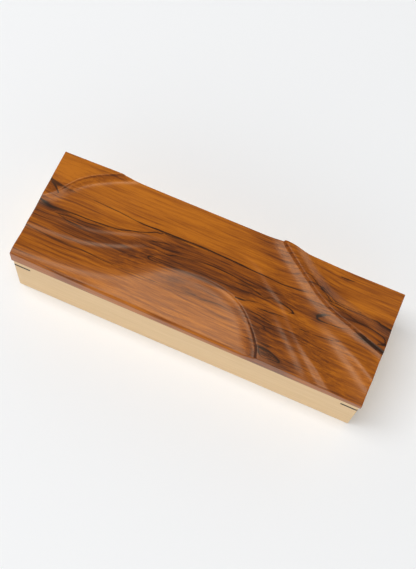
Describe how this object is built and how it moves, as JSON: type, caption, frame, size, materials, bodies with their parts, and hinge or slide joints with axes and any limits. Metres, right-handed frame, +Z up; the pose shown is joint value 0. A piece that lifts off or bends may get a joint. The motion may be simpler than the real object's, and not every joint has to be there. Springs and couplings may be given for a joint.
{
  "type": "hinged keepsake box",
  "caption": "Long low wooden box with mitred pale walls, dark corner keys and a thick hinged lid carved in flowing ridges and hollows.",
  "frame": {"origin": "on the surface the box stands on, under the middle of the lid", "axes": "+X along the length to the right, +Y to the hinge side, +Z up"},
  "size_m": [0.305, 0.102, 0.0721],
  "materials": {
    "lid_wood": "satin oiled hardwood with dark figure",
    "pale_wood": "pale straight-grained hardwood, satin",
    "key_wood": "dark hardwood, sanded flush",
    "panel_wood": "plain pale panel, satin",
    "felt": "short felt",
    "hinge_brass": "satin brass"
  },
  "bodies": {
    "box": {"front_wall": "pale_wood", "rear_wall": "pale_wood", "left_wall": "pale_wood", "right_wall": "pale_wood", "corner_key_front_left": "key_wood", "corner_key_front_right": "key_wood", "corner_key_rear_left": "key_wood", "corner_key_rear_right": "key_wood", "bottom_panel": "panel_wood", "felt_liner": "felt", "left_hinge_body_leaf": "hinge_brass", "right_hinge_body_leaf": "hinge_brass", "left_hinge_pin": "hinge_brass", "right_hinge_pin": "hinge_brass", "left_hinge_body_screws": "hinge_brass", "right_hinge_body_screws": "hinge_brass"},
    "lid": {"lid_panel": "lid_wood", "left_hinge_lid_leaf": "hinge_brass", "right_hinge_lid_leaf": "hinge_brass", "left_hinge_lid_screws": "hinge_brass", "right_hinge_lid_screws": "hinge_brass"}
  },
  "joints": [
    {"name": "lid_hinge", "type": "hinge", "parent": "box", "child": "lid", "pos_m": [0, 0.0484, 0.052], "axis": [-1, 0, 0], "range_deg": [0, 98]}
  ]
}
